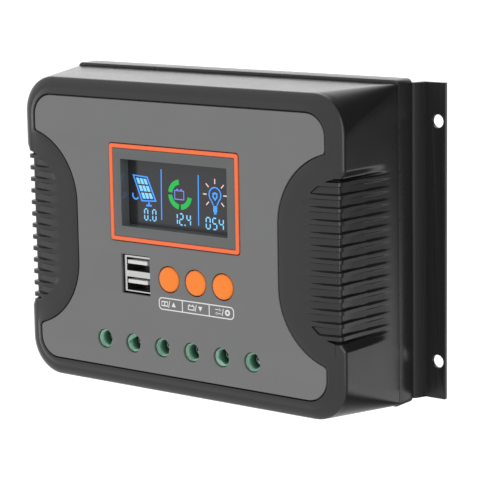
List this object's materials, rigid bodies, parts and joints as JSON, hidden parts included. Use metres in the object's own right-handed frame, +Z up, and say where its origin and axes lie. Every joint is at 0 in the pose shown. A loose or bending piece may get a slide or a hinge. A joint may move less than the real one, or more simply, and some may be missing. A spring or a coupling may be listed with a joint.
{
  "type": "solar charge controller",
  "caption": "Wall-mounted charge controller: ribbed plastic cover with waisted panel, recessed display, USB socket, push buttons, screw terminals and finned heat sink with ears.",
  "frame": {"origin": "centre of the wall plane, on the end of the middle fin, level with the backs of the ears", "axes": "+X to the right seen from the front, +Y into the wall, +Z up; the front faces -Y"},
  "size_m": [0.193, 0.0567, 0.1329],
  "materials": {
    "cover": "fine moulded texture, charcoal ABS",
    "panel": "satin mid grey overlay",
    "frame": "satin black",
    "heat_sink": "black anodised extrusion",
    "orange": "satin orange",
    "bezel": "glossy grey",
    "display_glass": "polished dark glass",
    "backlight": "frosted white",
    "white_plastic": "moulded white",
    "black_plastic": "moulded black",
    "socket_steel": "bright nickel plate",
    "screw_steel": "zinc plate",
    "terminal_green": "moulded green nylon",
    "brass": "tinned brass",
    "board": "solder mask",
    "thermal_pad": "soft silicone",
    "capacitor": "shrink sleeve",
    "fuse": "translucent moulding"
  },
  "bodies": {
    "housing": {"front_cover": "cover", "front_panel": "panel", "rear_frame": "frame", "heat_sink": "heat_sink", "case_screw_1": "screw_steel", "case_screw_2": "screw_steel", "case_screw_3": "screw_steel", "case_screw_4": "screw_steel", "display_trim": "orange", "display_bezel": "bezel", "lcd_glass": "display_glass", "lcd_backlight": "backlight", "lcd_holder": "black_plastic", "button_1_switch": "black_plastic", "button_2_switch": "black_plastic", "button_3_switch": "black_plastic", "usb_shell": "socket_steel", "usb_insulator": "white_plastic", "terminal_block_1": "terminal_green", "terminal_block_2": "terminal_green", "terminal_block_3": "terminal_green", "terminal_contact_1": "brass", "terminal_contact_2": "brass", "terminal_contact_3": "brass", "terminal_contact_4": "brass", "terminal_contact_5": "brass", "terminal_contact_6": "brass", "display_board": "board", "main_board": "board", "board_link": "black_plastic", "transistor_1": "black_plastic", "transistor_2": "black_plastic", "transistor_3": "black_plastic", "transistor_4": "black_plastic", "thermal_pad": "thermal_pad", "capacitor_1": "capacitor", "capacitor_2": "capacitor", "blade_fuse": "fuse", "standoff_1": "brass", "standoff_2": "brass", "standoff_3": "brass", "standoff_4": "brass"},
    "button_1": {"button_1_cap": "orange", "button_1_plunger": "black_plastic"},
    "button_2": {"button_2_cap": "orange", "button_2_plunger": "black_plastic"},
    "button_3": {"button_3_cap": "orange", "button_3_plunger": "black_plastic"},
    "clamp_screw_1": {"terminal_screw_1": "screw_steel"},
    "clamp_cage_1": {"terminal_cage_1": "brass"},
    "clamp_screw_2": {"terminal_screw_2": "screw_steel"},
    "clamp_cage_2": {"terminal_cage_2": "brass"},
    "clamp_screw_3": {"terminal_screw_3": "screw_steel"},
    "clamp_cage_3": {"terminal_cage_3": "brass"},
    "clamp_screw_4": {"terminal_screw_4": "screw_steel"},
    "clamp_cage_4": {"terminal_cage_4": "brass"},
    "clamp_screw_5": {"terminal_screw_5": "screw_steel"},
    "clamp_cage_5": {"terminal_cage_5": "brass"},
    "clamp_screw_6": {"terminal_screw_6": "screw_steel"},
    "clamp_cage_6": {"terminal_cage_6": "brass"}
  },
  "joints": [
    {"name": "button_1_press", "type": "slide", "parent": "housing", "child": "button_1", "axis": [0, 1, 0], "range_m": [0, 0.0006], "stiffness_N_per_m": 2500},
    {"name": "button_2_press", "type": "slide", "parent": "housing", "child": "button_2", "axis": [0, 1, 0], "range_m": [0, 0.0006], "stiffness_N_per_m": 2500},
    {"name": "button_3_press", "type": "slide", "parent": "housing", "child": "button_3", "axis": [0, 1, 0], "range_m": [0, 0.0006], "stiffness_N_per_m": 2500},
    {"name": "screw_1_turn", "type": "hinge", "parent": "housing", "child": "clamp_screw_1", "pos_m": [-0.03923, -0.045, -0.0451], "axis": [0, 1, 0], "range_deg": [0, 1801]},
    {"name": "cage_1_lift", "type": "slide", "parent": "housing", "child": "clamp_cage_1", "axis": [0, -1, 0], "range_m": [0, 0.0035]},
    {"name": "screw_2_turn", "type": "hinge", "parent": "housing", "child": "clamp_screw_2", "pos_m": [-0.02354, -0.045, -0.0451], "axis": [0, 1, 0], "range_deg": [0, 1801]},
    {"name": "cage_2_lift", "type": "slide", "parent": "housing", "child": "clamp_cage_2", "axis": [0, -1, 0], "range_m": [0, 0.0035]},
    {"name": "screw_3_turn", "type": "hinge", "parent": "housing", "child": "clamp_screw_3", "pos_m": [-0.00784, -0.045, -0.0451], "axis": [0, 1, 0], "range_deg": [0, 1801]},
    {"name": "cage_3_lift", "type": "slide", "parent": "housing", "child": "clamp_cage_3", "axis": [0, -1, 0], "range_m": [0, 0.0035]},
    {"name": "screw_4_turn", "type": "hinge", "parent": "housing", "child": "clamp_screw_4", "pos_m": [0.00784, -0.045, -0.0451], "axis": [0, 1, 0], "range_deg": [0, 1801]},
    {"name": "cage_4_lift", "type": "slide", "parent": "housing", "child": "clamp_cage_4", "axis": [0, -1, 0], "range_m": [0, 0.0035]},
    {"name": "screw_5_turn", "type": "hinge", "parent": "housing", "child": "clamp_screw_5", "pos_m": [0.02354, -0.045, -0.0451], "axis": [0, 1, 0], "range_deg": [0, 1801]},
    {"name": "cage_5_lift", "type": "slide", "parent": "housing", "child": "clamp_cage_5", "axis": [0, -1, 0], "range_m": [0, 0.0035]},
    {"name": "screw_6_turn", "type": "hinge", "parent": "housing", "child": "clamp_screw_6", "pos_m": [0.03923, -0.045, -0.0451], "axis": [0, 1, 0], "range_deg": [0, 1801]},
    {"name": "cage_6_lift", "type": "slide", "parent": "housing", "child": "clamp_cage_6", "axis": [0, -1, 0], "range_m": [0, 0.0035]}
  ],
  "couplings": [
    {"joint": "screw_1_turn", "follows": "cage_1_lift", "rad_per_m": 8976},
    {"joint": "screw_2_turn", "follows": "cage_2_lift", "rad_per_m": 8976},
    {"joint": "screw_3_turn", "follows": "cage_3_lift", "rad_per_m": 8976},
    {"joint": "screw_4_turn", "follows": "cage_4_lift", "rad_per_m": 8976},
    {"joint": "screw_5_turn", "follows": "cage_5_lift", "rad_per_m": 8976},
    {"joint": "screw_6_turn", "follows": "cage_6_lift", "rad_per_m": 8976}
  ]
}
